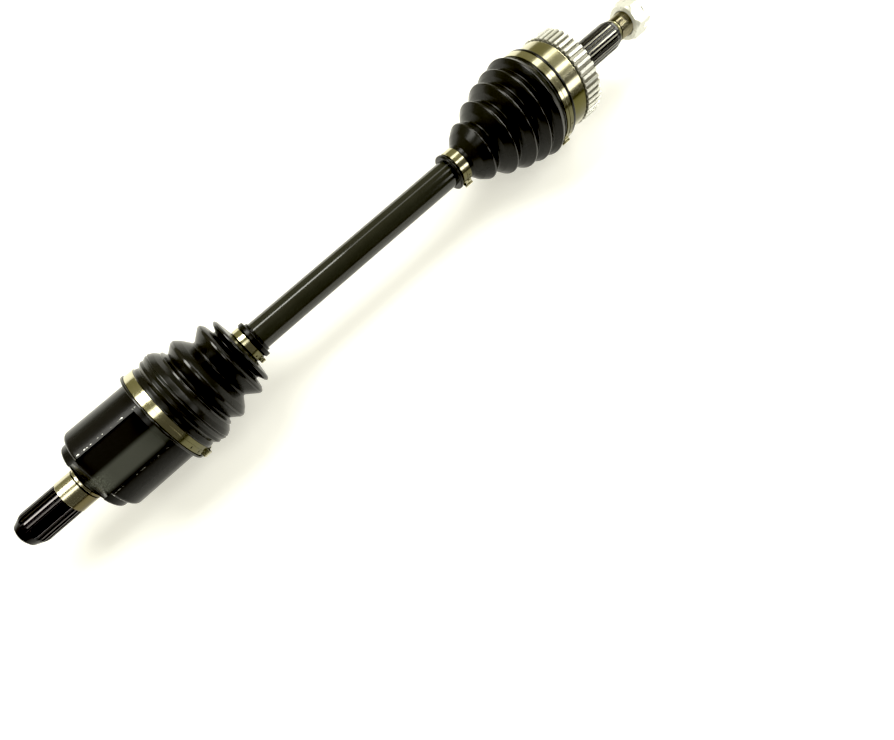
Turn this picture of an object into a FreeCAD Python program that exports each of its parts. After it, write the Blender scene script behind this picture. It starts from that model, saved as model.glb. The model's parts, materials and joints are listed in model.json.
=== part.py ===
import FreeCAD, Part
import math
import os

from FreeCAD import Vector

os.makedirs("parts", exist_ok=True)

# Front wheel drive half shaft: a tripod plunging joint inboard, a ball joint outboard.
# Millimetres. +X runs along the axle from the gearbox to the wheel hub, +Z is up, and the
# origin is the middle of the overall box, on the axle's centre line.

# ---- driving dimensions -------------------------------------------------------------
HALF_LENGTH = 348.5
BAR_RADIUS = 12.5
FIT = 0.05                      # radial clearance of a running or push fit

# Outboard ball joint
BALL_JOINT_X = 215.5            # centre of the outboard joint
BALL_COUNT = 6
BALL_RADIUS = 8.0
BALL_CIRCLE = 28.6              # ball centres, from the joint centre
TRACK_RADIUS = 9.15             # groove section, with room for the balls' small side shift
RACE_SPHERE = 26.1
CAGE_INNER_SPHERE = 26.2
CAGE_OUTER_SPHERE = 30.9
BELL_SPHERE = 31.0
RACE_HALF_WIDTH = 11.0
BELL_RADIUS = 42.0
BELL_MOUTH_X = 200.5
RING_SEAT_RADIUS = 39.5
RING_START_X = 232.5
RING_END_X = 248.6
HUB_SHOULDER_X = 253.5
HUB_JOURNAL_RADIUS = 15.0
HUB_SPLINE_START_X = 269.5
HUB_SPLINE_END_X = 307.5
HUB_SPLINE_CREST = 13.5
HUB_SPLINE_ROOT = 12.4
THREAD_START_X = 316.6
THREAD_RADIUS = 11.0
THREAD_PITCH = 1.5
NUT_START_X = 329.0
NUT_END_X = 347.5
NUT_FLATS = 32.0                # across flats
PIN_HOLE_RADIUS = 2.1           # hole across the thread, for the nut's split pin

# Inboard tripod joint
TRIPOD_X = -233.5               # centre of the spider
ARM_ANGLES = {"a": 87.0, "b": 207.0, "c": 327.0}    # from +Z towards -Y
ARM_RADIUS = 9.0
ARM_TIP = 29.0
NEEDLE_RADIUS = 1.2
NEEDLE_COUNT = 25
ROLLER_SPHERE = 16.0
ROLLER_CIRCLE = 22.0
ROLLER_HALF_WIDTH = 5.0
TULIP_RADIUS = 38.2
TULIP_MOUTH_X = -204.0
TULIP_BACK_X = -275.0
TULIP_SHOULDER_X = -283.0
TULIP_SHOULDER_RADIUS = 32.0
FLAT_DISTANCE = 33.4            # the three flats between the lobes, from the centre line
FLAT_END_X = -222.0
TRACK_HALF_WIDTH = 16.8
TRACK_FLOOR = 32.3
TRACK_BOTTOM_X = -272.0
COLLAR_START_X = -290.5         # the small collar between journal and housing
COLLAR_END_X = -288.7
GEARBOX_JOURNAL_RADIUS = 14.9
GEARBOX_SPLINE_CREST = 14.4
GEARBOX_SPLINE_ROOT = 13.4
GEARBOX_SPLINE_START_X = -306.4
SPLINE_TEETH = 25

BOOT_WALL = 1.9

ORIGIN = Vector(0, 0, 0)
X_AXIS = Vector(1, 0, 0)
Y_AXIS = Vector(0, 1, 0)


# ---- helpers ------------------------------------------------------------------------
def export(node, shape):
    shape.exportStep(f"parts/{node}.step")


def turned(shape, degrees):
    """A copy turned about the axle's centre line, from +Z towards -Y."""
    copy = shape.copy()
    copy.rotate(ORIGIN, X_AXIS, degrees)
    return copy


def cylinder(start, end, radius):
    return Part.makeCylinder(radius, end - start, Vector(start, 0, 0), X_AXIS)


def cone(start, end, start_radius, end_radius):
    return Part.makeCone(start_radius, end_radius, end - start, Vector(start, 0, 0), X_AXIS)


def corner(before, point, after, radius):
    """Start, middle and end of the arc that rounds one corner of an outline."""
    back = before - point
    on = after - point
    reach = 0.48 * min(back.Length, on.Length)
    back.normalize()
    on.normalize()
    half = 0.5 * math.acos(max(-1.0, min(1.0, back.dot(on))))
    run = min(radius / math.tan(half), reach)
    radius = run * math.tan(half)
    middle = back + on
    middle.normalize()
    centre = point + middle * (radius / math.sin(half))
    return point + back * run, centre - middle * radius, point + on * run


def outline(points):
    """A closed wire in the XZ plane through (x, r) or (x, r, rounding radius)."""
    places = [Vector(p[0], 0, p[1]) for p in points]
    edges = []
    first = last = None
    for i, p in enumerate(points):
        if len(p) == 3:
            following = places[(i + 1) % len(places)]
            start, middle, end = corner(places[i - 1], places[i], following, p[2])
        else:
            start = end = places[i]
            middle = None
        if last is not None:
            edges.append(Part.LineSegment(last, start).toShape())
        else:
            first = start
        if middle is not None:
            edges.append(Part.Arc(start, middle, end).toShape())
        last = end
    edges.append(Part.LineSegment(last, first).toShape())
    return Part.Wire(edges)


def lathe(points):
    """A solid of revolution about the axle's centre line."""
    return Part.Face(outline(points)).revolve(ORIGIN, X_AXIS, 360)


def toothed(start, end, root, crest, count, crest_share=0.34, root_share=0.30):
    """A prism with straight teeth all round, running along the axle."""
    points = []
    pitch = 2 * math.pi / count
    for tooth in range(count):
        for side, share, radius in (
            (-1, 1 - root_share, root),
            (-1, crest_share, crest),
            (1, crest_share, crest),
            (1, 1 - root_share, root),
        ):
            angle = pitch * (tooth + side * share / 2)
            points.append(Vector(start, -radius * math.sin(angle), radius * math.cos(angle)))
    face = Part.Face(Part.makePolygon(points + points[:1]))
    return face.extrude(Vector(end - start, 0, 0))


def snap_ring(middle, inner, outer, width, gap):
    """An open round retaining ring about the axle."""
    ring = cylinder(middle - width / 2, middle + width / 2, outer)
    ring = ring.cut(cylinder(middle - width, middle + width, inner))
    slot = Part.makeBox(2 * width, gap, outer + 1, Vector(middle - width, -gap / 2, 0))
    return ring.cut(slot)


def arm_cylinder(radius, start, end):
    """A cylinder along +Z through the spider's centre, before it is turned to its arm."""
    return Part.makeCylinder(radius, end - start, Vector(TRIPOD_X, 0, start))


def arm_sleeve(outer, inner, start, end):
    return arm_cylinder(outer, start, end).cut(arm_cylinder(inner, start - 1, end + 1))


def band_clamp(start, end, inner, thickness, ear_angle, ear_height, ear_width):
    """A flat steel band with one crimped ear, a hollow arch that stands up from it."""
    inner += FIT
    outer = inner + thickness
    band = cylinder(start, end, outer).cut(cylinder(start - 1, end + 1, inner))
    foot = inner + thickness / 2
    waist = ear_width / 2 - thickness
    crown = foot + ear_height
    arch_outside = [
        (-ear_width / 2, foot),
        (-ear_width / 2, foot + 0.35 * ear_height, 1.0),
        (-waist, foot + 0.6 * ear_height, 1.0),
        (-ear_width / 2, crown, 1.5),
        (ear_width / 2, crown, 1.5),
        (waist, foot + 0.6 * ear_height, 1.0),
        (ear_width / 2, foot + 0.35 * ear_height, 1.0),
        (ear_width / 2, foot),
    ]
    arch_inside = [
        (-waist + 0.3, foot - 1),
        (-waist + 0.3, crown - thickness, 0.6),
        (waist - 0.3, crown - thickness, 0.6),
        (waist - 0.3, foot - 1),
    ]
    inset = 0.12 * (end - start)
    ear = Part.Face(outline(arch_outside)).extrude(Y_AXIS * (end - start - 2 * inset))
    hole = Part.Face(outline(arch_inside)).extrude(Y_AXIS * (end - start))
    hole.translate(-Y_AXIS * inset)
    ear = ear.cut(hole)
    ear.rotate(ORIGIN, Vector(0, 0, 1), -90)
    ear.translate(Vector(start + inset, 0, 0))
    ear = ear.cut(cylinder(start - 1, end + 1, inner + 0.01))
    return band.fuse(turned(ear, ear_angle)).removeSplitter()


def inward(points, wall):
    """The same open profile moved inwards by the wall, mitred at each point."""
    moved = []
    for i, point in enumerate(points):
        before = points[max(i - 1, 0)]
        after = points[min(i + 1, len(points) - 1)]
        normals = []
        for a, b in ((before, point), (point, after)):
            length = math.hypot(b[0] - a[0], b[1] - a[1])
            if length > 0:
                normals.append(((b[1] - a[1]) / length, -(b[0] - a[0]) / length))
        nx = sum(n[0] for n in normals) / len(normals)
        nr = sum(n[1] for n in normals) / len(normals)
        scale = wall / (nx * nx + nr * nr)
        moved.append((point[0] + nx * scale, point[1] + nr * scale, 0.8))
    return moved


def bellows(folds, small_end, large_end):
    """A boot: folded wall between the two turned ends, each a list of outside then inside points."""
    inside = inward(folds, BOOT_WALL)
    return lathe(small_end[0] + folds + large_end[0] + large_end[1] + inside[::-1] + small_end[1])


def bellows_mirrored(folds, small_end, large_end):
    """The same boot for a profile that runs towards -X: built the other way round, then flipped."""
    def flip(points):
        return [(-p[0], *p[1:]) for p in points]
    shape = bellows(flip(folds), tuple(map(flip, small_end)), tuple(map(flip, large_end)))
    return shape.mirror(ORIGIN, X_AXIS)


# ---- bar, with the pieces fixed to it ------------------------------------------------
RACE_CLIP_X = BALL_JOINT_X + RACE_HALF_WIDTH + 1.0
BAR_END_X = RACE_CLIP_X + 3.0
SPIDER_HALF_WIDTH = 10.0
SPIDER_CLIP_XS = {
    "spider_outer_circlip": TRIPOD_X - SPIDER_HALF_WIDTH - 1.0,
    "spider_inner_circlip": TRIPOD_X + SPIDER_HALF_WIDTH + 1.0,
}
BAR_START_X = SPIDER_CLIP_XS["spider_outer_circlip"] - 2.6
BAR_SPLINE_CREST = 12.9
BAR_SPLINE_ROOT = 12.0
BAR_SPLINE_TEETH = 26
CLIP_WIDTH = 1.4
CLIP_GROOVE = 11.3


def bar_spline(start, end, growth=0.0):
    return toothed(start, end, BAR_SPLINE_ROOT + growth, BAR_SPLINE_CREST + growth, BAR_SPLINE_TEETH)


def axle_bar():
    inboard_spline_end = TRIPOD_X + SPIDER_HALF_WIDTH + 6.0
    outboard_spline_start = BALL_JOINT_X - RACE_HALF_WIDTH - 3.0
    bar = lathe([
        (BAR_START_X, 0),
        (BAR_START_X, BAR_SPLINE_ROOT - 1.0),
        (BAR_START_X + 1.0, BAR_SPLINE_ROOT),
        (inboard_spline_end, BAR_SPLINE_ROOT),
        (inboard_spline_end + 3.0, BAR_RADIUS),
        (outboard_spline_start - 3.0, BAR_RADIUS),
        (outboard_spline_start, BAR_SPLINE_ROOT),
        (BAR_END_X - 1.0, BAR_SPLINE_ROOT),
        (BAR_END_X, BAR_SPLINE_ROOT - 1.0),
        (BAR_END_X, 0),
    ])
    bar = bar.fuse(bar_spline(BAR_START_X + 1.0, inboard_spline_end + 0.5))
    bar = bar.fuse(bar_spline(outboard_spline_start - 0.5, BAR_END_X - 1.0))
    for middle in [RACE_CLIP_X, *SPIDER_CLIP_XS.values()]:
        half = CLIP_WIDTH / 2 + 0.1
        groove = cylinder(middle - half, middle + half, BAR_RADIUS + 2)
        bar = bar.cut(groove.cut(cylinder(middle - half - 1, middle + half + 1, CLIP_GROOVE)))
    return bar.removeSplitter()


def circlip(middle):
    return snap_ring(middle, CLIP_GROOVE + FIT, BAR_SPLINE_CREST + 1.6, CLIP_WIDTH, 4.0)


# ---- outboard ball joint -------------------------------------------------------------
JOINT_CENTRE = Vector(BALL_JOINT_X, 0, 0)


def sphere(radius):
    return Part.makeSphere(radius, JOINT_CENTRE)


def ball_angle(number):
    return 360.0 / BALL_COUNT * number


def ball(number):
    place = JOINT_CENTRE + Vector(0, 0, BALL_CIRCLE)
    return turned(Part.makeSphere(BALL_RADIUS, place), ball_angle(number))


def track(first_latitude, last_latitude):
    """A round groove tool that follows the ball circle in the XZ plane, with a round far end."""
    place = JOINT_CENTRE + Vector(0, 0, BALL_CIRCLE)
    section = Part.Face(Part.Wire(Part.makeCircle(TRACK_RADIUS, place, X_AXIS)))
    section.rotate(JOINT_CENTRE, Y_AXIS, first_latitude)
    tool = section.revolve(JOINT_CENTRE, Y_AXIS, last_latitude - first_latitude)
    end = Part.makeSphere(TRACK_RADIUS, place)
    end.rotate(JOINT_CENTRE, Y_AXIS, last_latitude)
    return tool.fuse(end)


def inner_race():
    half = RACE_HALF_WIDTH
    race = sphere(RACE_SPHERE).common(cylinder(BALL_JOINT_X - half, BALL_JOINT_X + half, RACE_SPHERE))
    race = race.cut(bar_spline(BALL_JOINT_X - half - 1, BALL_JOINT_X + half + 1, FIT))
    groove = track(-60, 60)
    for number in range(BALL_COUNT):
        race = race.cut(turned(groove, ball_angle(number)))
    return race


def cage():
    half = RACE_HALF_WIDTH
    window_length = 2 * BALL_RADIUS + 0.1
    window_width = 20.0
    shell = sphere(CAGE_OUTER_SPHERE).common(
        cylinder(BALL_JOINT_X - half, BALL_JOINT_X + half, CAGE_OUTER_SPHERE)
    )
    shell = shell.cut(sphere(CAGE_INNER_SPHERE))
    window = Part.makeBox(
        window_length, window_width, CAGE_OUTER_SPHERE,
        JOINT_CENTRE + Vector(-window_length / 2, -window_width / 2, 5.0),
    )
    window = window.makeFillet(3.0, [e for e in window.Edges if abs(e.tangentAt(0).z) > 0.9])
    for number in range(BALL_COUNT):
        shell = shell.cut(turned(window, ball_angle(number)))
    return shell


def thread_outline():
    """Ring-shaped crests at the thread's pitch, from the neck to the end of the stub."""
    depth = 0.6 * THREAD_PITCH
    points = []
    count = int((HALF_LENGTH - 2.0 - THREAD_START_X) / THREAD_PITCH)
    for turn in range(count):
        start = THREAD_START_X + turn * THREAD_PITCH
        points += [
            (start, THREAD_RADIUS - depth),
            (start + 0.45 * THREAD_PITCH, THREAD_RADIUS),
            (start + 0.60 * THREAD_PITCH, THREAD_RADIUS),
        ]
    points.append((THREAD_START_X + count * THREAD_PITCH, THREAD_RADIUS - depth))
    return points


def outboard_housing():
    spline_envelope = lathe([
        (HUB_SPLINE_START_X, 0),
        (HUB_SPLINE_START_X, HUB_SPLINE_ROOT),
        (HUB_SPLINE_START_X + 1.2, HUB_SPLINE_CREST),
        (HUB_SPLINE_END_X, HUB_SPLINE_CREST),
        (HUB_SPLINE_END_X + 5.0, THREAD_RADIUS),
        (HUB_SPLINE_END_X + 5.0, 0),
    ])
    spline = toothed(
        HUB_SPLINE_START_X, HUB_SPLINE_END_X + 5.0, HUB_SPLINE_ROOT, HUB_SPLINE_CREST, SPLINE_TEETH
    ).common(spline_envelope)
    body = lathe([
        (BELL_MOUTH_X, 0),
        (BELL_MOUTH_X, BELL_RADIUS, 1.0),
        (RING_START_X - 1.7, BELL_RADIUS, 0.8),
        (RING_START_X - 1.7, RING_SEAT_RADIUS),
        (RING_END_X, RING_SEAT_RADIUS, 1.0),
        (RING_END_X + 1.6, RING_SEAT_RADIUS - 3.0, 3.0),
        (HUB_SHOULDER_X - 1.0, 25.0, 2.0),
        (HUB_SHOULDER_X, 23.5, 0.5),
        (HUB_SHOULDER_X, HUB_JOURNAL_RADIUS, 1.0),
        (HUB_SPLINE_START_X - 1.2, HUB_JOURNAL_RADIUS, 0.6),
        (HUB_SPLINE_START_X, HUB_SPLINE_ROOT),
        (HUB_SPLINE_END_X + 4.0, HUB_SPLINE_ROOT),
        (HUB_SPLINE_END_X + 7.3, THREAD_RADIUS),
        (THREAD_START_X - 1.5, THREAD_RADIUS),
        *thread_outline(),
        (HALF_LENGTH, THREAD_RADIUS - 2.0),
        (HALF_LENGTH, 0),
    ])
    body = body.fuse(spline)
    body = body.cut(sphere(BELL_SPHERE))
    flare_x = BALL_JOINT_X - 10.8
    flare_radius = math.sqrt(BELL_SPHERE ** 2 - 10.8 ** 2)
    body = body.cut(cone(BELL_MOUTH_X - 0.1, flare_x, flare_radius + 5.1, flare_radius - 0.1))
    groove = track(-60, 24)
    for number in range(BALL_COUNT):
        body = body.cut(turned(groove, ball_angle(number)))
    pin_hole_foot = Vector(NUT_START_X + 2.8, 0, -2 * THREAD_RADIUS)
    pin_hole = Part.makeCylinder(PIN_HOLE_RADIUS, 4 * THREAD_RADIUS, pin_hole_foot)
    return body.cut(pin_hole)


def tone_ring():
    root = RING_SEAT_RADIUS + 1.7
    crest = RING_SEAT_RADIUS + 4.0
    ring = toothed(RING_START_X, RING_END_X, root, crest, 47, crest_share=0.40, root_share=0.36)
    ring = ring.common(lathe([
        (RING_START_X, RING_SEAT_RADIUS),
        (RING_START_X, crest - 0.5),
        (RING_START_X + 0.5, crest + 0.1),
        (RING_END_X - 0.5, crest + 0.1),
        (RING_END_X, crest - 0.5),
        (RING_END_X, RING_SEAT_RADIUS),
    ]))
    return ring


def hub_nut():
    corner_radius = NUT_FLATS / math.sqrt(3)
    face_radius = 17.2
    slot_depth = 6.0
    slot_width = 5.0
    first = Vector(NUT_START_X, 0, corner_radius)
    corners = [FreeCAD.Rotation(X_AXIS, 60.0 * k).multVec(first) for k in range(7)]
    nut = Part.Face(Part.makePolygon(corners)).extrude(Vector(NUT_END_X - NUT_START_X, 0, 0))
    nut = nut.common(lathe([
        (NUT_START_X, 0),
        (NUT_START_X, face_radius - 0.9),
        (NUT_START_X + 2.6, face_radius),
        (NUT_START_X + 3.6, corner_radius + 0.1),
        (NUT_END_X - 1.6, corner_radius + 0.1),
        (NUT_END_X, NUT_FLATS / 2 - 0.4),
        (NUT_END_X, 0),
    ]))
    nut = nut.cut(cylinder(NUT_START_X - 1, NUT_END_X + 1, THREAD_RADIUS + FIT))
    nut = nut.cut(cone(NUT_START_X - 0.1, NUT_START_X + 1.3, THREAD_RADIUS + 1.4, THREAD_RADIUS))
    slot = Part.makeBox(
        slot_depth + 1, slot_width, 2 * corner_radius,
        Vector(NUT_END_X - slot_depth, -slot_width / 2, 0),
    )
    for k in range(6):
        nut = nut.cut(turned(slot, 60.0 * k + 30.0))
    return nut


# ---- inboard tripod joint ------------------------------------------------------------
def spider():
    half = SPIDER_HALF_WIDTH
    clip_groove_start = ROLLER_CIRCLE + ROLLER_HALF_WIDTH + 0.8
    hub = lathe([
        (TRIPOD_X - half, 0),
        (TRIPOD_X - half, 16.6, 1.0),
        (TRIPOD_X + half, 16.6, 1.0),
        (TRIPOD_X + half, 0),
    ])
    shoulder_end = ROLLER_CIRCLE - ROLLER_HALF_WIDTH - 0.2
    arm = arm_cylinder(ARM_RADIUS, 5.0, ARM_TIP).fuse(arm_cylinder(half - 0.2, 5.0, shoulder_end))
    arm = arm.cut(arm_sleeve(ARM_RADIUS + 1, ARM_RADIUS - 0.8, clip_groove_start, clip_groove_start + 0.9))
    for angle in ARM_ANGLES.values():
        hub = hub.fuse(turned(arm, angle))
    return hub.cut(bar_spline(TRIPOD_X - half - 1, TRIPOD_X + half + 1, FIT)).removeSplitter()


def needles():
    circle = ARM_RADIUS + 0.02 + NEEDLE_RADIUS
    length = 2 * ROLLER_HALF_WIDTH - 0.4
    start = ROLLER_CIRCLE - length / 2
    rollers = []
    for k in range(NEEDLE_COUNT):
        angle = 2 * math.pi * k / NEEDLE_COUNT
        place = Vector(TRIPOD_X + circle * math.cos(angle), circle * math.sin(angle), start)
        rollers.append(Part.makeCylinder(NEEDLE_RADIUS, length, place))
    return Part.makeCompound(rollers)


def roller():
    centre = Vector(TRIPOD_X, 0, ROLLER_CIRCLE)
    low = ROLLER_CIRCLE - ROLLER_HALF_WIDTH
    high = ROLLER_CIRCLE + ROLLER_HALF_WIDTH
    body = Part.makeSphere(ROLLER_SPHERE, centre).common(arm_cylinder(ROLLER_SPHERE + 1, low, high))
    bore = ARM_RADIUS + 2 * NEEDLE_RADIUS + 0.04
    return body.cut(arm_cylinder(bore, low - 1, high + 1))


def roller_washer():
    start = ROLLER_CIRCLE + ROLLER_HALF_WIDTH + 0.08
    return arm_sleeve(12.6, ARM_RADIUS + FIT, start, start + 0.65)


def roller_clip():
    start = ROLLER_CIRCLE + ROLLER_HALF_WIDTH + 0.85
    ring = arm_sleeve(ARM_RADIUS + 1.1, ARM_RADIUS - 0.75, start, start + 0.8)
    return ring.cut(Part.makeBox(14, 3, 4, Vector(TRIPOD_X, -1.5, start - 1)))


def flat_tool():
    """Cuts one flat between two lobes, and the rounded run down to the stub behind it."""
    half_width = 17.2
    edge = 1.4
    high = TULIP_RADIUS + 6.0
    side = [
        (FLAT_END_X, high),
        (FLAT_END_X, FLAT_DISTANCE, 1.5),
        (TULIP_BACK_X - 1.0, FLAT_DISTANCE - 0.4, 12.0),
        (TULIP_SHOULDER_X - 1.0, 18.5, 4.0),
        (TULIP_SHOULDER_X - 12.0, 18.0),
        (TULIP_SHOULDER_X - 12.0, high),
    ]
    tool = Part.Face(outline(side)).extrude(Y_AXIS * (2 * half_width))
    tool.translate(-Y_AXIS * half_width)
    slope = FLAT_DISTANCE + 0.5
    corner_y = math.sqrt(TULIP_RADIUS ** 2 - slope ** 2)
    bevel = Part.makePolygon([
        Vector(FLAT_END_X, 0, slope),
        Vector(FLAT_END_X, corner_y - edge, slope),
        Vector(FLAT_END_X, corner_y + 2 * edge, slope + 3 * edge),
        Vector(FLAT_END_X, 0, high),
        Vector(FLAT_END_X, 0, slope),
    ])
    bevel = Part.Face(bevel).extrude(Vector(TULIP_BACK_X - FLAT_END_X, 0, 0))
    other = bevel.mirror(ORIGIN, Y_AXIS)
    return tool.fuse(bevel).fuse(other)


def inboard_housing():
    tip_x = -HALF_LENGTH
    envelope = lathe([
        (tip_x, 0),
        (tip_x, 9.6, 4.5),
        (tip_x + 10.5, GEARBOX_SPLINE_CREST, 8.0),
        (GEARBOX_SPLINE_START_X, GEARBOX_SPLINE_CREST),
        (GEARBOX_SPLINE_START_X, 0),
    ])
    spline = toothed(
        tip_x + 2.0, GEARBOX_SPLINE_START_X, GEARBOX_SPLINE_ROOT, GEARBOX_SPLINE_CREST, SPLINE_TEETH
    ).common(envelope)
    body = lathe([
        (tip_x, 0),
        (tip_x, 8.4, 4.0),
        (tip_x + 10.5, GEARBOX_SPLINE_ROOT, 8.0),
        (GEARBOX_SPLINE_START_X, GEARBOX_SPLINE_ROOT),
        (GEARBOX_SPLINE_START_X, GEARBOX_JOURNAL_RADIUS, 0.5),
        (COLLAR_START_X - 1.3, GEARBOX_JOURNAL_RADIUS),
        (COLLAR_START_X - 1.3, GEARBOX_JOURNAL_RADIUS - 0.9),
        (COLLAR_START_X, GEARBOX_JOURNAL_RADIUS - 0.9),
        (COLLAR_START_X, GEARBOX_JOURNAL_RADIUS + 0.4, 0.3),
        (COLLAR_END_X, GEARBOX_JOURNAL_RADIUS + 0.4),
        (COLLAR_END_X, GEARBOX_JOURNAL_RADIUS),
        (COLLAR_END_X + 1.4, GEARBOX_JOURNAL_RADIUS + 1.6, 1.0),
        (TULIP_SHOULDER_X, TULIP_SHOULDER_RADIUS, 1.6),
        (TULIP_BACK_X - 1.0, TULIP_SHOULDER_RADIUS, 1.2),
        (TULIP_BACK_X, TULIP_RADIUS, 3.0),
        (TULIP_MOUTH_X, TULIP_RADIUS, 0.6),
        (TULIP_MOUTH_X, 0),
    ])
    body = body.fuse(spline)
    flat = flat_tool()
    for angle in ARM_ANGLES.values():
        body = body.cut(turned(flat, angle - 60.0))
    reach = TULIP_MOUTH_X + 1.0 - TRACK_BOTTOM_X
    slot = Part.makeBox(
        reach, 2 * TRACK_HALF_WIDTH, TRACK_FLOOR + 1,
        Vector(TRACK_BOTTOM_X, -TRACK_HALF_WIDTH, 0),
    )
    slot = slot.common(cylinder(TRACK_BOTTOM_X, TULIP_MOUTH_X + 1.0, TRACK_FLOOR))
    for angle in ARM_ANGLES.values():
        body = body.cut(turned(slot, angle))
    return body.cut(cone(TRIPOD_X + 2.5, TULIP_MOUTH_X + 0.1, 20.0, 29.0))


# ---- boots and clamps ----------------------------------------------------------------
BAR_BORE = BAR_RADIUS + FIT
SMALL_CLAMP_THICKNESS = 0.7
LARGE_CLAMP_THICKNESS = 0.8
OUTBOARD_SMALL_SEAT = 15.5
INBOARD_SMALL_SEAT = 15.1
OUTBOARD_LARGE_SEAT = 44.7
INBOARD_LARGE_SEAT = 42.0


def outboard_boot():
    folds = [
        (115.0, 16.2, 2.0),
        (129.0, 28.7, 3.0),
        (137.8, 24.0, 2.5),
        (148.2, 37.1, 2.6),
        (157.0, 31.8, 2.2),
        (165.3, 43.3, 2.4),
        (173.0, 38.0, 2.0),
        (180.1, 46.6, 2.2),
        (187.0, 42.4, 1.8),
        (193.1, 49.4, 1.6),
    ]
    small_outside = [
        (97.8, 14.0),
        (97.8, 17.0, 0.8),
        (100.4, 17.0, 1.0),
        (102.0, OUTBOARD_SMALL_SEAT, 0.5),
        (113.0, OUTBOARD_SMALL_SEAT, 1.0),
    ]
    large_outside = [
        (200.4, OUTBOARD_LARGE_SEAT, 1.5),
        (210.5, OUTBOARD_LARGE_SEAT),
        (210.8, OUTBOARD_LARGE_SEAT + 0.9, 0.5),
        (213.2, OUTBOARD_LARGE_SEAT + 0.9, 0.8),
        (213.2, BELL_RADIUS),
    ]
    large_inside = [(BELL_MOUTH_X + 0.5, BELL_RADIUS)]
    small_inside = [(114.0, BAR_BORE), (98.5, BAR_BORE)]
    return bellows(folds, (small_outside, small_inside), (large_outside, large_inside))


def inboard_boot():
    folds = [
        (-136.7, 32.2, 0.9),
        (-142.8, 21.6, 1.6),
        (-147.4, 36.6, 1.4),
        (-159.8, 28.0, 2.2),
        (-171.2, 40.5, 1.2),
        (-180.6, 34.0, 2.6),
        (-191.0, 44.4, 3.0),
        (-197.5, 44.4, 3.0),
    ]
    small_outside = [
        (-119.2, BAR_BORE),
        (-119.2, 13.6, 0.4),
        (-121.6, 13.8, 0.4),
        (-121.6, 17.0, 0.6),
        (-125.8, 17.0, 0.8),
        (-126.4, INBOARD_SMALL_SEAT),
        (-133.6, INBOARD_SMALL_SEAT, 0.8),
    ]
    large_outside = [
        (-204.6, 41.6, 1.0),
        (-206.4, 41.5, 0.5),
        (-206.5, INBOARD_LARGE_SEAT),
        (-215.2, INBOARD_LARGE_SEAT),
        (-215.3, 43.9, 0.8),
        (-217.4, 43.9, 0.8),
        (-217.4, TULIP_RADIUS + FIT),
    ]
    large_inside = [(TULIP_MOUTH_X - 0.3, TULIP_RADIUS + FIT), (TULIP_MOUTH_X + 0.5, 37.0)]
    small_inside = [(-133.2, BAR_BORE)]
    return bellows_mirrored(folds, (small_outside, small_inside), (large_outside, large_inside))


# ---- export --------------------------------------------------------------------------
export("axle_bar", axle_bar())
export("outboard_inner_race", inner_race())
export("outboard_race_circlip", circlip(RACE_CLIP_X))
export("outboard_cage", cage())
for number in range(BALL_COUNT):
    export(f"outboard_ball_{number + 1}", ball(number))
export("outboard_housing", outboard_housing())
export("abs_tone_ring", tone_ring())
export("hub_nut", hub_nut())
export("outboard_boot", outboard_boot())
export("inboard_housing", inboard_housing())
export("tripod_spider", spider())
for node, middle in SPIDER_CLIP_XS.items():
    export(node, circlip(middle))
for arm, angle in ARM_ANGLES.items():
    export(f"tripod_roller_{arm}", turned(roller(), angle))
    export(f"roller_needles_{arm}", turned(needles(), angle))
    export(f"roller_washer_{arm}", turned(roller_washer(), angle))
    export(f"roller_clip_{arm}", turned(roller_clip(), angle))
export("inboard_boot", inboard_boot())
for node, *sizes in (
    # start and end x, inner radius, thickness, then the ear's angle, height and width
    ("outboard_large_clamp", 202.5, 210.0, OUTBOARD_LARGE_SEAT, LARGE_CLAMP_THICKNESS, 112.0, 3.6, 9.0),
    ("outboard_small_clamp", 102.6, 111.6, OUTBOARD_SMALL_SEAT, SMALL_CLAMP_THICKNESS, 115.0, 4.2, 7.0),
    ("inboard_large_clamp", -215.0, -206.7, INBOARD_LARGE_SEAT, LARGE_CLAMP_THICKNESS, 104.0, 3.8, 9.0),
    ("inboard_small_clamp", -132.8, -126.8, INBOARD_SMALL_SEAT, SMALL_CLAMP_THICKNESS, 110.0, 3.6, 6.5),
):
    export(node, band_clamp(*sizes))
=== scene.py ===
import json
import math

import bmesh
import bpy
from mathutils import Matrix, Vector


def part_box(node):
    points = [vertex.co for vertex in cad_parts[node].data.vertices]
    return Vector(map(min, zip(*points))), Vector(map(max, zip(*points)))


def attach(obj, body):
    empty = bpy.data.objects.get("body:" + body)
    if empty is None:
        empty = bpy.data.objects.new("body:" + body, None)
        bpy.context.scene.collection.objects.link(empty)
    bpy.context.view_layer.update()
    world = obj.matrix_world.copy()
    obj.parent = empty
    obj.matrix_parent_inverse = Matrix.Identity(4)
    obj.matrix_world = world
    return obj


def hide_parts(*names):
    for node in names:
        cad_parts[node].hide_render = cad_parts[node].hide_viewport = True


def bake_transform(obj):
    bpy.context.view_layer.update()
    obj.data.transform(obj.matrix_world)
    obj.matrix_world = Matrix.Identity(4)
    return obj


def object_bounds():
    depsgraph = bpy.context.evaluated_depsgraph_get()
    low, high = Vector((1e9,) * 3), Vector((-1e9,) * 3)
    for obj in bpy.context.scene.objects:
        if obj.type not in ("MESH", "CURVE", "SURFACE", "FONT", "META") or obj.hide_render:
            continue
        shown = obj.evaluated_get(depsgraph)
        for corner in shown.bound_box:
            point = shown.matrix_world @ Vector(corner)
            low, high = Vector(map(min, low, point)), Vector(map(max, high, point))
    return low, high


# Looks of a front wheel drive half shaft. Everything is in metres, in the part's own frame:
# +X runs along the axle to the wheel hub, +Z is up, and the origin is the middle of the axle.
# Sizes written in millimetres are turned into metres by MM.

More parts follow.
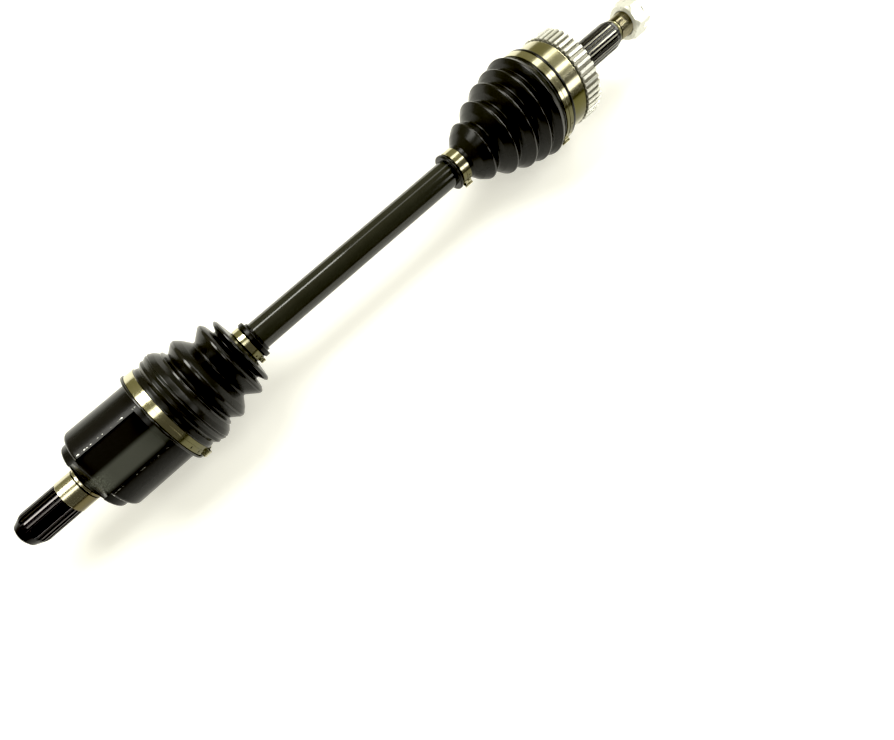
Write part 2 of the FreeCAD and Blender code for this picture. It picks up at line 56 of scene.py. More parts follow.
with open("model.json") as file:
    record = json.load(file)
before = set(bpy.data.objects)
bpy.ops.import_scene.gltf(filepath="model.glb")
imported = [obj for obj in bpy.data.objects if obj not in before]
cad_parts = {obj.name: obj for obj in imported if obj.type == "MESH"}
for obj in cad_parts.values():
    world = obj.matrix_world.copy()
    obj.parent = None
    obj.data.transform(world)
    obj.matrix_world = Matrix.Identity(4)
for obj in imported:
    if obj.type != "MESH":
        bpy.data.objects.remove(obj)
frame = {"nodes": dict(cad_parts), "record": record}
cad_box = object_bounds()
nodes = frame["nodes"]

MM = 0.001
ROUND_STEPS = 192               # facets round a boot or a clamp
SMOOTH_ANGLE = 35.0             # edges sharper than this, in degrees, stay sharp
BAR_RADIUS = 12.5
FIT = 0.05                      # room between the bar and the sleeve of a boot
CORNER_SHARE = 0.48             # the most of the shorter run beside a corner that its arc takes
CORNER_STEPS = 6

# The middle of the inboard housing's upper flat, and of everything that faces the camera, in
# degrees from +Z towards -Y.
FRONT_PSI = 27.0

# The -Y flank, whose bare metal gets painted shade, as shares of the radius, with its softness: see
# Look.front_side.
PAINTED_SHADE_FLANK = (0.46, 0.94, 0.05)

# Pairs of stations, heights or radii in metres between which one finish gives way to the next.
BELL_GROOVE = (0.2308, 0.2326)
HUB_SPLINE = (0.2690, 0.3122)
HUB_CREST_RADII = (0.01338, 0.01348)
THREAD_START = (0.3156, 0.3162)
THREAD_CREST_RADII = (0.0106, 0.0109)
RING_SLOT_RADII = (0.0429, 0.0420)
HOUSING_RIM = (-0.2757, -0.2740)
HOUSING_RIM_RADII = (0.0360, 0.0365)
LOBE_RADII = (0.0345, 0.0350)
PALE_STREAK_BAND = (0.0005, 0.0150)
PALE_STREAK_HEIGHTS = (0.012, 0.020)
PALE_STREAK_SPECKLE_FROM = (-0.262, -0.286)
STUB_START = (-0.2885, -0.2889)
STUB_GROOVE = (-0.2918, -0.2905)
GEARBOX_SPLINE_START = (-0.3062, -0.3066)
GEARBOX_CREST_RADII = (0.01428, 0.01438)

# Where a flat of the housing ends, as shares of a third of a turn from its middle.
FLAT_EDGE = (0.2435, 0.2500)


# ---- shader helpers ------------------------------------------------------------------
class Look:
    """A node material under construction, with short ways to add the usual nodes."""

    def __init__(self, name):
        self.material = bpy.data.materials.new(name)
        self.material.use_nodes = True
        self.tree = self.material.node_tree
        self.tree.nodes.clear()
        self.surface = self.add("ShaderNodeBsdfPrincipled")
        output = self.add("ShaderNodeOutputMaterial")
        self.link(self.surface.outputs["BSDF"], output.inputs["Surface"])
        self.place = self.add("ShaderNodeTexCoord").outputs["Object"]
        split = self.add("ShaderNodeSeparateXYZ")
        self.link(self.place, split.inputs[0])
        self.x, self.y, self.z = split.outputs
        self.radius = self.math("SQRT", self.math("ADD", self.square(self.y), self.square(self.z)))

    def add(self, kind):
        return self.tree.nodes.new(kind)

    def link(self, source, target):
        self.tree.links.new(source, target)

    def feed(self, socket, value):
        if isinstance(value, bpy.types.NodeSocket):
            self.link(value, socket)
        else:
            socket.default_value = value

    def math(self, operation, a, b=0.0, clamp=False):
        node = self.add("ShaderNodeMath")
        node.operation = operation
        node.use_clamp = clamp
        self.feed(node.inputs[0], a)
        self.feed(node.inputs[1], b)
        return node.outputs[0]

    def lower(self):
        """How far a place lies to the -Y side of the plane through the axle at FRONT_PSI."""
        tilt = math.radians(FRONT_PSI)
        sideways = self.math("MULTIPLY", self.y, -math.cos(tilt))
        return self.math("ADD", sideways, self.math("MULTIPLY", self.z, -math.sin(tilt)))

    def front_side(self):
        """1 on the flank towards -Y, whose bare metal has a darker colour in place of shade."""
        return self.span(self.math("DIVIDE", self.lower(), self.radius), *PAINTED_SHADE_FLANK)

    def square(self, value):
        return self.math("MULTIPLY", value, value)

    def step(self, value, low, high):
        """0 below low, 1 above high and smooth between them."""
        node = self.add("ShaderNodeMapRange")
        node.interpolation_type = "SMOOTHSTEP"
        self.feed(node.inputs["Value"], value)
        node.inputs["From Min"].default_value = low
        node.inputs["From Max"].default_value = high
        return node.outputs["Result"]

    def span(self, value, low, high, soft):
        """1 between low and high, with soft edges."""
        rise = self.step(value, low - soft, low + soft)
        fall = self.step(value, high - soft, high + soft)
        return self.math("SUBTRACT", rise, fall, clamp=True)

    def noise(self, scale, detail=3.0, rough=0.5, stretch=None):
        node = self.add("ShaderNodeTexNoise")
        node.inputs["Scale"].default_value = scale
        node.inputs["Detail"].default_value = detail
        node.inputs["Roughness"].default_value = rough
        vector = self.place
        if stretch:
            scaled = self.add("ShaderNodeVectorMath")
            scaled.operation = "MULTIPLY"
            self.link(self.place, scaled.inputs[0])
            scaled.inputs[1].default_value = stretch
            vector = scaled.outputs[0]
        self.link(vector, node.inputs["Vector"])
        return node.outputs["Fac"]

    def mix(self, factor, a, b):
        """A colour between a and b."""
        node = self.add("ShaderNodeMix")
        node.data_type = "RGBA"
        self.feed(node.inputs["Factor"], factor)
        self.feed(node.inputs[6], (*a, 1.0) if isinstance(a, tuple) else a)
        self.feed(node.inputs[7], (*b, 1.0) if isinstance(b, tuple) else b)
        return node.outputs[2]

    def blend(self, factor, a, b):
        """A number between a and b."""
        node = self.add("ShaderNodeMix")
        self.feed(node.inputs["Factor"], factor)
        self.feed(node.inputs[2], a)
        self.feed(node.inputs[3], b)
        return node.outputs[0]

    def bump(self, height, distance, strength):
        node = self.add("ShaderNodeBump")
        node.inputs["Strength"].default_value = strength
        node.inputs["Distance"].default_value = distance
        self.link(height, node.inputs["Height"])
        return node.outputs["Normal"]

    def set(self, **values):
        names = {
            "colour": "Base Color", "metal": "Metallic", "rough": "Roughness", "normal": "Normal",
            "coat": "Coat Weight", "coat_rough": "Coat Roughness", "specular": "Specular IOR Level",
            "glow": "Emission Color", "glow_strength": "Emission Strength",
        }
        for key, value in values.items():
            socket = self.surface.inputs[names[key]]
            self.feed(socket, (*value, 1.0) if isinstance(value, tuple) else value)


# ---- materials -----------------------------------------------------------------------
def bar_paint():
    look = Look("bar_gloss_paint")
    cloud = look.noise(60.0, 4.0)
    streak = look.noise(900.0, 2.0, stretch=(0.04, 1.0, 1.0))
    look.set(
        colour=look.mix(cloud, (0.015, 0.015, 0.011), (0.024, 0.024, 0.018)),
        rough=look.blend(streak, 0.08, 0.12),
        normal=look.bump(look.noise(160.0, 2.0), 0.00003, 0.3),
        specular=0.42,
        coat=0.22,
        coat_rough=0.06,
    )
    return look.material


def boot_rubber(name, low, high, specular):
    """Moulded rubber; low and high bound its roughness."""
    look = Look(name)
    cloud = look.noise(35.0, 4.0)
    grain = look.noise(2600.0, 2.0)
    bloom = look.step(look.noise(14.0, 5.0, 0.6), 0.45, 0.75)
    look.set(
        colour=look.mix(bloom, (0.0075, 0.0072, 0.0060), (0.0130, 0.0125, 0.0105)),
        rough=look.blend(cloud, low, high),
        normal=look.bump(grain, 0.00002, 0.4),
        specular=specular,
    )
    return look.material


def band_steel():
    look = Look("stainless_band")
    scratch = look.noise(1500.0, 3.0, stretch=(1.0, 0.06, 0.06))
    cloud = look.noise(90.0, 3.0)
    bright = look.mix(cloud, (0.52, 0.49, 0.32), (0.64, 0.61, 0.44))
    # A darker copy of the steel: painted shade for the flank towards -Y.
    painted_shade = look.mix(cloud, (0.09, 0.085, 0.045), (0.15, 0.14, 0.08))
    look.set(
        colour=look.mix(look.front_side(), bright, painted_shade),
        metal=1.0,
        rough=look.blend(scratch, 0.08, 0.20),
        normal=look.bump(scratch, 0.00001, 0.3),
    )
    return look.material


def turned_lines(look, scale):
    """Fine rings of a lathe tool: noise that changes only along the axle."""
    return look.noise(scale, 2.0, stretch=(1.0, 0.0, 0.0))


def outboard_steel():
    """Ground bell with painted shade on its -Y flank, dark splines with bare crests, a bright neck and
    an oiled thread.
    """
    look = Look("outboard_joint_steel")
    rings = turned_lines(look, 2500.0)
    cloud = look.noise(45.0, 4.0)
    bell = look.mix(look.step(cloud, 0.35, 0.7), (0.46, 0.43, 0.26), (0.56, 0.53, 0.38))
    # The bell's flank towards -Y takes a darker colour: painted shade.
    bell = look.mix(look.front_side(), bell, (0.10, 0.092, 0.035))
    spline = look.span(look.x, *HUB_SPLINE, 0.0004)
    crest = look.step(look.radius, *HUB_CREST_RADII)
    dark = look.mix(crest, (0.005, 0.004, 0.0035), (0.15, 0.145, 0.12))
    thread = look.step(look.x, *THREAD_START)
    thread_crest = look.step(look.radius, *THREAD_CREST_RADII)
    bronze = look.mix(thread_crest, (0.05, 0.045, 0.03), (0.42, 0.38, 0.26))
    groove = look.span(look.x, *BELL_GROOVE, 0.0002)
    colour = look.mix(spline, bell, dark)
    colour = look.mix(thread, colour, bronze)
    colour = look.mix(groove, colour, (0.02, 0.018, 0.015))
    rough = look.blend(rings, 0.10, 0.22)
    rough = look.blend(spline, rough, look.blend(crest, 0.25, 0.13))
    look.set(
        colour=colour,
        metal=look.blend(spline, 1.0, crest),
        rough=rough,
        normal=look.bump(rings, 0.000012, 0.35),
    )
    return look.material


def inboard_paint():
    """Black housing with bare specks on its edges and a paler streak on its upper flat, a bright
    journal with painted shade on its -Y flank, and dark splines.
    """
    look = Look("inboard_housing_paint")
    cloud = look.noise(28.0, 5.0, 0.6)
    speck = look.noise(420.0, 3.0, 0.7)
    rings = turned_lines(look, 2200.0)
    # Paler colour along the lower half of the flat that faces up, speckled towards the stub.
    upper_side = look.step(look.z, *PALE_STREAK_HEIGHTS)
    streak = look.math("MULTIPLY", look.span(look.lower(), *PALE_STREAK_BAND, 0.0022), upper_side)
    speckled_end = look.math("MULTIPLY", streak, look.step(look.x, *PALE_STREAK_SPECKLE_FROM))
    streak_speckle = look.step(look.noise(900.0, 4.0, 0.7), 0.40, 0.66)
    pale_streak = look.math("ADD", look.math("MULTIPLY", streak, 0.42), look.math("MULTIPLY", speckled_end, streak_speckle))
    paint = look.mix(pale_streak, (0.0110, 0.0105, 0.0100), (0.125, 0.130, 0.110))
    # Share of a third of a turn from the middle of the nearest flat, for the line where each
    # flat meets its lobes.
    psi = look.math("ARCTAN2", look.math("MULTIPLY", look.y, -1.0), look.z)
    half_a_third = 0.5 / 3.0
    shift = 1.0 + half_a_third - FRONT_PSI / 360.0
    turn = look.math("ADD", look.math("DIVIDE", psi, 2.0 * math.pi), shift)
    third = look.math("FRACT", look.math("MULTIPLY", turn, 3.0))
    offset = look.math("ABSOLUTE", look.math("SUBTRACT", third, 0.5))
    edge = look.span(offset, *FLAT_EDGE, 0.0012)
    edge = look.math("MULTIPLY", edge, look.step(look.radius, *LOBE_RADII))
    rim = look.span(look.x, *HOUSING_RIM, 0.0001)
    rim = look.math("MULTIPLY", rim, look.step(look.radius, *HOUSING_RIM_RADII))
    chip = look.math("MULTIPLY", look.math("MAXIMUM", edge, rim), look.step(speck, 0.56, 0.64))
    stub = look.step(look.x, *STUB_START)
    spline = look.step(look.x, *GEARBOX_SPLINE_START)
    groove = look.span(look.x, *STUB_GROOVE, 0.0001)
    crest = look.step(look.radius, *GEARBOX_CREST_RADII)
    dark = look.mix(crest, (0.004, 0.003, 0.004), (0.075, 0.070, 0.070))
    bright = look.mix(look.noise(60.0), (0.50, 0.46, 0.32), (0.62, 0.59, 0.44))
    # The journal's flank towards -Y takes a darker colour: painted shade.
    bright = look.mix(look.front_side(), bright, (0.13, 0.11, 0.06))
    bright = look.mix(groove, bright, (0.03, 0.028, 0.022))
    colour = look.mix(chip, paint, (0.60, 0.60, 0.55))
    colour = look.mix(stub, colour, bright)
    colour = look.mix(spline, colour, dark)
    metal = look.math("MAXIMUM", chip, stub)
    metal = look.blend(spline, metal, crest)
    rough = look.blend(cloud, 0.18, 0.28)
    rough = look.blend(stub, rough, look.blend(rings, 0.14, 0.26))
    rough = look.blend(spline, rough, 0.20)
    look.set(
        colour=colour,
        metal=metal,
        rough=rough,
        normal=look.bump(look.noise(260.0, 3.0), 0.00006, 0.3),
        specular=0.14,
    )
    return look.material


def tone_ring_zinc():
    look = Look("tone_ring_zinc")
    cloud = look.noise(160.0, 4.0)
    # The slots between the teeth take a darker colour: painted shade.
    slot_shade = look.step(look.radius, *RING_SLOT_RADII)
    bright = look.mix(cloud, (0.74, 0.74, 0.66), (0.86, 0.86, 0.80))
    look.set(
        colour=look.mix(slot_shade, bright, (0.30, 0.29, 0.24)),
        metal=0.45,
        rough=look.blend(cloud, 0.22, 0.36),
        normal=look.bump(look.noise(1200.0, 2.0), 0.00002, 0.4),
    )
    return look.material


def nut_zinc():
    look = Look("nut_zinc")
    cloud = look.noise(220.0, 4.0)
    look.set(
        colour=look.mix(cloud, (0.66, 0.66, 0.58), (0.84, 0.84, 0.78)),
        metal=0.35,
        rough=look.blend(cloud, 0.22, 0.38),
        normal=look.bump(look.noise(1500.0, 2.0), 0.00002, 0.5),
    )
    return look.material


def inner_steel(name, dark, light, low, high):
    """Ground or oiled steel of the pieces inside the joints."""
    look = Look(name)
    cloud = look.noise(180.0, 4.0)
    look.set(
        colour=look.mix(cloud, dark, light),
        metal=1.0,
        rough=look.blend(cloud, low, high),
        normal=look.bump(look.noise(1400.0, 2.0), 0.000015, 0.3),
    )
    return look.material


MATERIALS = {
    "black_paint": bar_paint(),
    "boot_rubber": boot_rubber("moulded_rubber", 0.19, 0.27, 0.19),
    "boot_crest": boot_rubber("polished_fold_crest", 0.10, 0.16, 0.50),
    "band_steel": band_steel(),
    "ground_steel": outboard_steel(),
    "housing_paint": inboard_paint(),
    "ring_zinc": tone_ring_zinc(),
    "zinc_plate": nut_zinc(),
    "bearing_steel": inner_steel("bearing_steel", (0.42, 0.41, 0.38), (0.60, 0.59, 0.56), 0.18, 0.32),
    "ball_steel": inner_steel("ball_steel", (0.70, 0.70, 0.69), (0.80, 0.80, 0.79), 0.04, 0.10),
    "spring_steel": inner_steel("spring_steel", (0.06, 0.06, 0.065), (0.16, 0.16, 0.17), 0.28, 0.42),
}

slot_of_node = {part["node"]: part["material_slot"] for part in frame["record"]["subparts"]}
for node, thing in nodes.items():
    finish = "ring_zinc" if node == "abs_tone_ring" else slot_of_node[node]
    thing.data.materials.clear()
    thing.data.materials.append(MATERIALS[finish])


# ---- mesh helpers --------------------------------------------------------------------
def finished(mesh_builder, name, finish, body, node, second=None):
    """Turns a bmesh into a piece that stands for a CAD node and, if a body is named, rides on it."""
    bmesh.ops.recalc_face_normals(mesh_builder, faces=mesh_builder.faces)
    mesh = bpy.data.meshes.new(name)
    mesh_builder.to_mesh(mesh)
    mesh_builder.free()
    piece = bpy.data.objects.new(name, mesh)
    bpy.context.scene.collection.objects.link(piece)
    mesh.materials.append(MATERIALS[finish])
    if second:
        mesh.materials.append(MATERIALS[second])
    mesh.shade_smooth()
    mesh.set_sharp_from_angle(angle=math.radians(SMOOTH_ANGLE))
    if body:
        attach(piece, body)
    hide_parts(node)
    return piece


def rounded(points, steps=CORNER_STEPS):
    """Samples an open outline of (x, r) or (x, r, rounding radius) in mm, corners as arcs."""
    samples = []
    for i, p in enumerate(points):
        if len(p) == 2 or i in (0, len(points) - 1):
            samples.append((p[0], p[1]))
            continue
        point = Vector(p[:2])
        back = Vector(points[i - 1][:2]) - point
        on = Vector(points[i + 1][:2]) - point
        reach = CORNER_SHARE * min(back.length, on.length)
        back.normalize()
        on.normalize()
        half = 0.5 * math.acos(max(-1.0, min(1.0, back.dot(on))))
        run = min(p[2] / math.tan(half), reach)
        radius = run * math.tan(half)
        centre = point + (back + on).normalized() * (radius / math.sin(half))
        first = point + back * run - centre
        last = point + on * run - centre
        sweep = first.angle_signed(last)
        for k in range(steps + 1):
            spoke = first.copy()
            spoke.rotate(Matrix.Rotation(-sweep * k / steps, 2))
            samples.append(tuple(centre + spoke))
    return samples


def moved_in(samples, wall):
    """The same open line moved in by the wall along its own normals, for a shell's inside."""
    inside = []
    for i, point in enumerate(samples):
        before = Vector(samples[max(i - 1, 0)])
        after = Vector(samples[min(i + 1, len(samples) - 1)])
        along = (after - before).normalized()
        inside.append((point[0] + along.y * wall, point[1] - along.x * wall))
    return inside


def ring_point(x, radius, psi):
    """A point round the axle, psi from +Z towards -Y, all in mm and degrees."""
    angle = math.radians(psi)
    return Vector((x, -radius * math.sin(angle), radius * math.cos(angle))) * MM


def revolved(outline, ripple, crests):
    """A closed outline of (x, r) turned once round the axle; crests take the second material."""
    mesh_builder = bmesh.new()
    rings = []
    for k in range(ROUND_STEPS):
        psi = 360.0 * k / ROUND_STEPS
        rings.append([
            mesh_builder.verts.new(ring_point(x, r + ripple(x, r, psi), psi))
            for x, r in outline
        ])
    for k, ring in enumerate(rings):
        after = rings[(k + 1) % ROUND_STEPS]
        for i in range(len(outline)):
            j = (i + 1) % len(outline)
            face = mesh_builder.faces.new((ring[i], ring[j], after[j], after[i]))
            face.material_index = 1 if i in crests and j in crests else 0
    return mesh_builder


# ---- boots ---------------------------------------------------------------------------
BOOT_WALL = 1.9
SLEEVE_RADIUS = 20.0            # below this an outline belongs to the small end and has no folds
CREST_REACH = 0.9               # how far the rubbed, shinier top of a fold reaches to each side
SLEEVE_SAMPLES = 3              # samples that a plain bore replaces at each end of the inside
RIPPLE_FROM = 18.0              # radius where the unevenness of a fold begins
RIPPLE_RISE = 12.0              # how much further out it is full


def boot_ripple(x, r, psi):
    """The slight unevenness of a moulded rubber fold, mostly at its crest."""
    angle = math.radians(psi)
    swell = 0.10 * math.sin(3 * angle + 0.21 * x) + 0.06 * math.sin(5 * angle - 0.34 * x)
    return swell * max(0.0, min(1.0, (r - RIPPLE_FROM) / RIPPLE_RISE))


def crest_places(outside):
    """Which samples of an outside line lie within CREST_REACH of the top of a fold."""
    places = set()
    for i in range(1, len(outside) - 1):
        if outside[i][1] < SLEEVE_RADIUS or max(outside[i - 1][1], outside[i + 1][1]) > outside[i][1]:
            continue
        near = [k for k, place in enumerate(outside) if math.dist(place, outside[i]) < CREST_REACH]
        places.update(near)
    return places


def boot_half(name, outside, inside, node):
    """One half boot, turned round the axle from its outside and inside outlines."""
    mesh_builder = revolved(outside + inside[::-1], boot_ripple, crest_places(outside))
    piece = finished(mesh_builder, name, "boot_rubber", None, node, second="boot_crest")
    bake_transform(piece)


def nearest(samples, x):
    """The place in a list of (x, r) samples nearest to a station on the axle."""
    return min(range(len(samples)), key=lambda i: abs(samples[i][0] - x))


def boot(label, folds, small_end, large_end, large_bore, seam, node):
    """Two half boots that meet in the valley at seam.

    The outlines run from the bar to the housing.
    """
    toward = 1.0 if large_end[-1][0] > small_end[0][0] else -1.0
    outside = rounded(small_end + folds + large_end)
    folded = rounded([small_end[-1], *folds, large_end[0]])
    inside = moved_in(folded, BOOT_WALL * toward)
    bore = BAR_RADIUS + FIT
    inside = inside[SLEEVE_SAMPLES:-SLEEVE_SAMPLES]
    inside = [(small_end[0][0], bore), (small_end[-1][0] + toward, bore)] + inside
    inside += [(large_end[0][0] + 2.0 * toward, large_bore), (large_end[-1][0], large_bore)]
    cut_out = nearest(outside, seam)
    cut_in = nearest(inside, seam)
    boot_half(
        label + "_boot_bar_side", outside[: cut_out + 1], inside[: cut_in + 1],
        node,
    )
    boot_half(
        label + "_boot_joint_side", outside[cut_out:], inside[cut_in:],
        node,
    )


boot(
    "outboard",
    folds=[
        (115.5, 16.6, 1.5),
        (121.4, 23.4, 4.0),
        (129.0, 28.9, 2.6),
        (138.0, 24.0, 1.5),
        (142.0, 30.4, 3.0),
        (148.2, 37.3, 2.0),
        (157.0, 31.9, 1.4),
        (160.2, 37.4, 3.0),
        (165.4, 43.5, 1.8),
        (173.8, 38.2, 1.2),
        (176.4, 42.3, 2.4),
        (180.4, 46.8, 1.5),
        (187.6, 42.4, 1.0),
        (189.8, 45.7, 2.0),
        (193.2, 49.3, 1.4),
    ],
    small_end=[
        (97.8, 12.55),
        (97.8, 17.0, 0.9),
        (100.4, 17.0, 1.0),
        (102.0, 15.5, 0.6),
        (113.0, 15.5, 1.0),
    ],
    large_end=[
        (200.6, 44.7, 1.8),
        (210.4, 44.7, 0.3),
        (210.8, 45.6, 0.5),
        (213.2, 45.6, 0.9),
        (213.2, 42.0),
    ],
    large_bore=42.0,
    seam=173.8,
    node="outboard_boot",
)

boot(
    "inboard",
    folds=[
        (-135.6, 29.5, 1.4),
        (-137.4, 32.3, 1.4),
        (-139.4, 30.0, 1.4),
        (-142.8, 21.6, 1.2),
        (-144.8, 32.6, 2.2),
        (-147.8, 37.2, 2.4),
        (-159.8, 28.0, 1.6),
        (-165.6, 36.0, 5.0),
        (-171.3, 41.2, 3.4),
        (-180.8, 33.8, 1.4),
        (-182.6, 38.9, 0.7),
        (-184.0, 38.5, 0.6),
        (-187.2, 42.2, 3.0),
        (-191.2, 44.4, 0.5),
        (-192.2, 43.5, 0.4),
        (-193.3, 44.5, 0.5),
        (-196.6, 42.8, 0.8),
        (-198.8, 43.6, 0.5),
        (-202.4, 40.4, 1.2),
    ],
    small_end=[
        (-119.2, 12.55),
        (-119.2, 13.6, 0.4),
        (-121.4, 13.9, 0.4),
        (-121.6, 17.0, 0.8),
        (-125.6, 17.0, 0.9),
        (-126.5, 15.1, 0.4),
        (-133.5, 15.1, 0.6),
    ],
    large_end=[
        (-204.8, 41.4, 0.8),
        (-206.3, 41.5, 0.4),
        (-206.5, 42.0, 0.2),
        (-215.2, 42.0, 0.2),
        (-215.4, 43.9, 0.9),
        (-217.4, 43.9, 0.9),
        (-217.4, 38.25),
    ],
    large_bore=38.25,
    seam=-180.8,
    node="inboard_boot",
)


# ---- clamps --------------------------------------------------------------------------
EAR_FOOT = 0.8                  # how far each foot of an ear reaches beyond its width
EAR_STEPS = 5
EAR_INSET = 0.14                # an ear is narrower than its band, by this share on each side
BAND_EDGE = 0.18                # bevel of a strip's edges, as a share of its thickness
TAIL_WIDTH = 0.52               # width of a band's outer end, as a share of the band
TAIL_ANGLE = 96.0               # how far round the outer end reaches, in degrees
TAIL_STEPS = 48
TAIL_INSET = 0.3
TAIL_GAP = 4.0                  # degrees from the foot of the ear to the outer end
HOOK_SPAN = (0.14, 0.38)        # from edge to edge of a hook, as shares of the band
HOOK_ANGLES = (12.0, 26.0)      # the hooks, in degrees before the foot of the ear
HOOK_STEPS = 4


def swept_strip(mesh_builder, path, start, end, thickness):
    """A flat strip of metal along an open path of (psi, radius of its inner face)."""
    rings = []
    last = len(path) - 1
    for i, (psi, radius) in enumerate(path):
        before = path[max(i - 1, 0)]
        after = path[min(i + 1, last)]
        along = ring_point(0, after[1], after[0]) - ring_point(0, before[1], before[0])
        normal = Vector((1, 0, 0)).cross(along).normalized() * thickness * MM
        if normal.dot(ring_point(0, 1, psi)) < -1e-9:
            normal = -normal
        inner = ring_point(0, radius, psi)
        bevel = BAND_EDGE * thickness
        rings.append([
            mesh_builder.verts.new(inner + normal * share + Vector((x * MM, 0, 0)))
            for x, share in (
                (start + bevel, 0.0), (end - bevel, 0.0), (end, 0.25), (end, 0.75),
                (end - bevel, 1.0), (start + bevel, 1.0), (start, 0.75), (start, 0.25),
            )
        ])
    for ring, after in zip(rings, rings[1:]):
        for k in range(len(ring)):
            m = (k + 1) % len(ring)
            mesh_builder.faces.new((ring[k], ring[m], after[m], after[k]))
    mesh_builder.faces.new(rings[0])
    mesh_builder.faces.new(rings[-1][::-1])


def ear_path(radius, psi, width, height):
    """The arch of a crimped ear as (psi, radius) places, from one foot to the other."""
    outline = rounded([
        (-width / 2 - EAR_FOOT, radius),
        (-width / 2 + 0.2, radius + 0.1, 0.6),
        (-width / 2 + 0.3, radius + 0.35 * height, 0.8),
        (-width / 2 + 1.1, radius + 0.62 * height, 0.6),
        (-width / 2, radius + height, 1.2),
        (width / 2, radius + height, 1.2),
        (width / 2 - 1.1, radius + 0.62 * height, 0.6),
        (width / 2 - 0.3, radius + 0.35 * height, 0.8),
        (width / 2 - 0.2, radius + 0.1, 0.6),
        (width / 2 + EAR_FOOT, radius),
    ], EAR_STEPS)
    return [(psi + math.degrees(math.atan2(s, h)), math.hypot(s, h)) for s, h in outline]


def band_clamp(name, node, body, inner, thickness, ear_psi, ear_height, ear_width, tail_side):
    """A crimped ear clamp; tail_side says on which edge of the band its outer end lies."""
    low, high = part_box(node)
    start = low[0] / MM
    end = high[0] / MM
    width = end - start
    mesh_builder = bmesh.new()
    foot = math.degrees((ear_width / 2 + EAR_FOOT) / inner)
    ring = [
        (ear_psi + foot + (360.0 - 2 * foot) * k / ROUND_STEPS, inner) for k in range(1, ROUND_STEPS)
    ]
    swept_strip(mesh_builder, ring, start, end, thickness)
    arch = ear_path(inner, ear_psi, ear_width, ear_height)
    inset = EAR_INSET * width
    swept_strip(mesh_builder, arch, start + inset, end - inset, thickness * 0.9)
    # The band's outer end lies over it on one side and hooks in just before the ear.
    over = inner + thickness + 0.03
    tail_width = TAIL_WIDTH * width
    tail_start = start + TAIL_INSET if tail_side < 0 else end - TAIL_INSET - tail_width
    tail_psi = ear_psi - foot - TAIL_GAP
    tail = [(tail_psi - TAIL_ANGLE * k / TAIL_STEPS, over) for k in range(TAIL_STEPS + 1)]
    swept_strip(mesh_builder, tail, tail_start, tail_start + tail_width, thickness * 0.45)
    hook_start = tail_start + HOOK_SPAN[0] * width
    hook_end = tail_start + HOOK_SPAN[1] * width
    for hook_angle in HOOK_ANGLES:
        hook_psi = ear_psi - foot - hook_angle
        hook = [
            (hook_psi + 60.0 / inner * k / HOOK_STEPS, over + 0.35 * math.sin(math.pi * k / HOOK_STEPS))
            for k in range(HOOK_STEPS + 1)
        ]
        swept_strip(mesh_builder, hook, hook_start, hook_end, thickness * 0.5)
    finished(mesh_builder, name, "band_steel", body, node)


band_clamp(
    "outboard_large_band", "outboard_large_clamp", "outboard_joint",
    inner=44.75, thickness=0.8, ear_psi=112.0, ear_height=3.2, ear_width=8.0, tail_side=1,
)
band_clamp(
    "outboard_small_band", "outboard_small_clamp", "axle_bar",
    inner=15.55, thickness=0.7, ear_psi=115.0, ear_height=3.6, ear_width=6.5, tail_side=1,
)
band_clamp(
    "inboard_large_band", "inboard_large_clamp", "inboard_joint",
    inner=42.05, thickness=0.8, ear_psi=104.0, ear_height=3.2, ear_width=8.0, tail_side=-1,
)
band_clamp(
    "inboard_small_band", "inboard_small_clamp", "axle_bar",
    inner=15.15, thickness=0.7, ear_psi=110.0, ear_height=3.2, ear_width=6.0, tail_side=-1,
)


# ---- stage, light and camera ---------------------------------------------------------
LAMP_COLOUR = (1.0, 0.995, 0.92)
LAMP_DISTANCE = 1.3             # from the centre line of the axle to each strip light
FLOOR_SIZE = 6.0
FLOOR_GAP = 0.0001              # the floor lies this far below the lowest point
CAMERA_PLACE = (-123.3, -248.7, 489.5)      # in mm
CAMERA_BACK = (-0.1838, -0.2320, 0.9552)    # from the middle of the picture to the camera
CAMERA_UP = (0.6710, 0.6805, 0.2944)
CAMERA_LENS = 25.82
WALL_DIM = (0.110, 0.105, 0.085, 1.0)
WALL_BRIGHT = (0.30, 0.285, 0.17, 1.0)
WALL_TURN = (-0.5, 0.3)         # directions along Y between which the walls brighten


def stage_floor():
    look = Look("studio_paper")
    look.set(
        colour=look.mix(look.noise(3.0, 2.0), (0.60, 0.60, 0.59), (0.62, 0.62, 0.61)),
        rough=0.9,
        specular=0.1,
        glow=(1.0, 0.98, 0.86),
        glow_strength=0.58,
    )
    bpy.ops.mesh.primitive_plane_add(size=FLOOR_SIZE, location=(0.0, 0.0, cad_box[0][2] - FLOOR_GAP))
    floor = bpy.context.object
    floor.name = "studio_floor"
    floor.data.materials.append(look.material)


def aimed_light(name, place, target, size, power):
    """An area light that faces its target; size is (across, along the axle)."""
    light = bpy.data.lights.new(name, "AREA")
    light.shape = "RECTANGLE"
    light.size, light.size_y = size
    light.energy = power
    light.color = LAMP_COLOUR
    lamp = bpy.data.objects.new(name, light)
    bpy.context.scene.collection.objects.link(lamp)
    back = (Vector(place) - Vector(target)).normalized()
    along = Vector((1.0, 0.0, 0.0))
    across = along.cross(back).normalized()
    along = back.cross(across)
    lamp.matrix_world = Matrix.Translation(place) @ Matrix((across, along, back)).transposed().to_4x4()


def overhead(psi, distance):
    """A place above the axle, psi from +Z towards -Y."""
    angle = math.radians(psi)
    return Vector((0.0, -distance * math.sin(angle), distance * math.cos(angle)))


def strip_light(name, psi, x, brightness):
    """A soft light over the axle that fills the angle between two psi, between two stations."""
    first_psi, last_psi = psi
    first_x, last_x = x
    across = 2 * LAMP_DISTANCE * math.tan(math.radians(last_psi - first_psi) / 2)
    length = last_x - first_x
    power = brightness * math.pi * across * length
    middle = Vector(((first_x + last_x) / 2, 0.0, 0.0))
    place = overhead((first_psi + last_psi) / 2, LAMP_DISTANCE) + middle
    aimed_light(name, place, middle, (across, length), power)


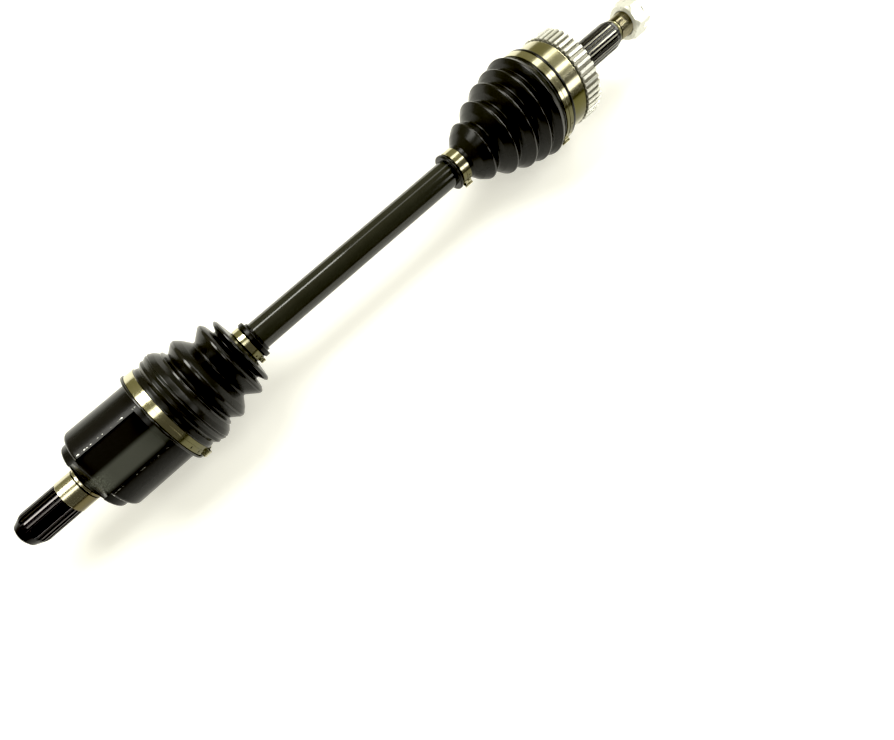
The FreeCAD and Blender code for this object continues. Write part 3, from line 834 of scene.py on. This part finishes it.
def lights():
    strip_light("left_inboard", psi=(-40.0, -18.0), x=(-1.0, 0.22), brightness=9.5)
    strip_light("left_outboard", psi=(-40.0, -24.0), x=(0.22, 1.65), brightness=2.2)
    strip_light("top_inboard", psi=(1.0, 16.0), x=(-1.1, -0.15), brightness=3.2)
    strip_light("top_outboard", psi=(4.0, 16.0), x=(0.6, 1.65), brightness=3.2)
    strip_light("right_outboard", psi=(50.0, 66.0), x=(0.6, 1.65), brightness=3.0)
    # A low light beyond the hub end, which draws a thin line along the crest of each fold.
    aimed_light(
        "far_end", place=(1.30, 0.05, 1.00), target=(0.0, 0.0, 0.0), size=(1.5, 0.16), power=14.0,
    )
    studio_walls()


def studio_walls():
    """A plain dim room, a little darker on the -Y side."""
    world = bpy.data.worlds.new("studio")
    world.use_nodes = True
    tree = world.node_tree
    direction = tree.nodes.new("ShaderNodeTexCoord")
    split = tree.nodes.new("ShaderNodeSeparateXYZ")
    ramp = tree.nodes.new("ShaderNodeMapRange")
    ramp.inputs["From Min"].default_value = WALL_TURN[0]
    ramp.inputs["From Max"].default_value = WALL_TURN[1]
    mix = tree.nodes.new("ShaderNodeMix")
    mix.data_type = "RGBA"
    mix.inputs[6].default_value = WALL_DIM
    mix.inputs[7].default_value = WALL_BRIGHT
    tree.links.new(direction.outputs["Generated"], split.inputs[0])
    tree.links.new(split.outputs["Y"], ramp.inputs["Value"])
    tree.links.new(ramp.outputs["Result"], mix.inputs["Factor"])
    tree.links.new(mix.outputs[2], tree.nodes["Background"].inputs["Color"])
    bpy.context.scene.world = world


def camera():
    """Looks down steeply from beside the inboard joint, the hub end far off at the upper right."""
    data = bpy.data.cameras.new("camera")
    data.lens = CAMERA_LENS
    data.sensor_width = 36.0
    data.clip_start = 0.01
    viewer = bpy.data.objects.new("camera", data)
    bpy.context.scene.collection.objects.link(viewer)
    back = Vector(CAMERA_BACK).normalized()
    right = Vector(CAMERA_UP).cross(back).normalized()
    up = back.cross(right)
    turn = Matrix((right, up, back)).transposed().to_4x4()
    viewer.matrix_world = Matrix.Translation(Vector(CAMERA_PLACE) * MM) @ turn
    bpy.context.scene.camera = viewer


stage_floor()
lights()
camera()
# Plain display with the darkest tones pulled down to black, as in a shop picture.
display = bpy.context.scene.view_settings
display.view_transform = "Standard"
display.use_curve_mapping = True
display.curve_mapping.black_level = (0.014, 0.014, 0.013)
display.curve_mapping.update()
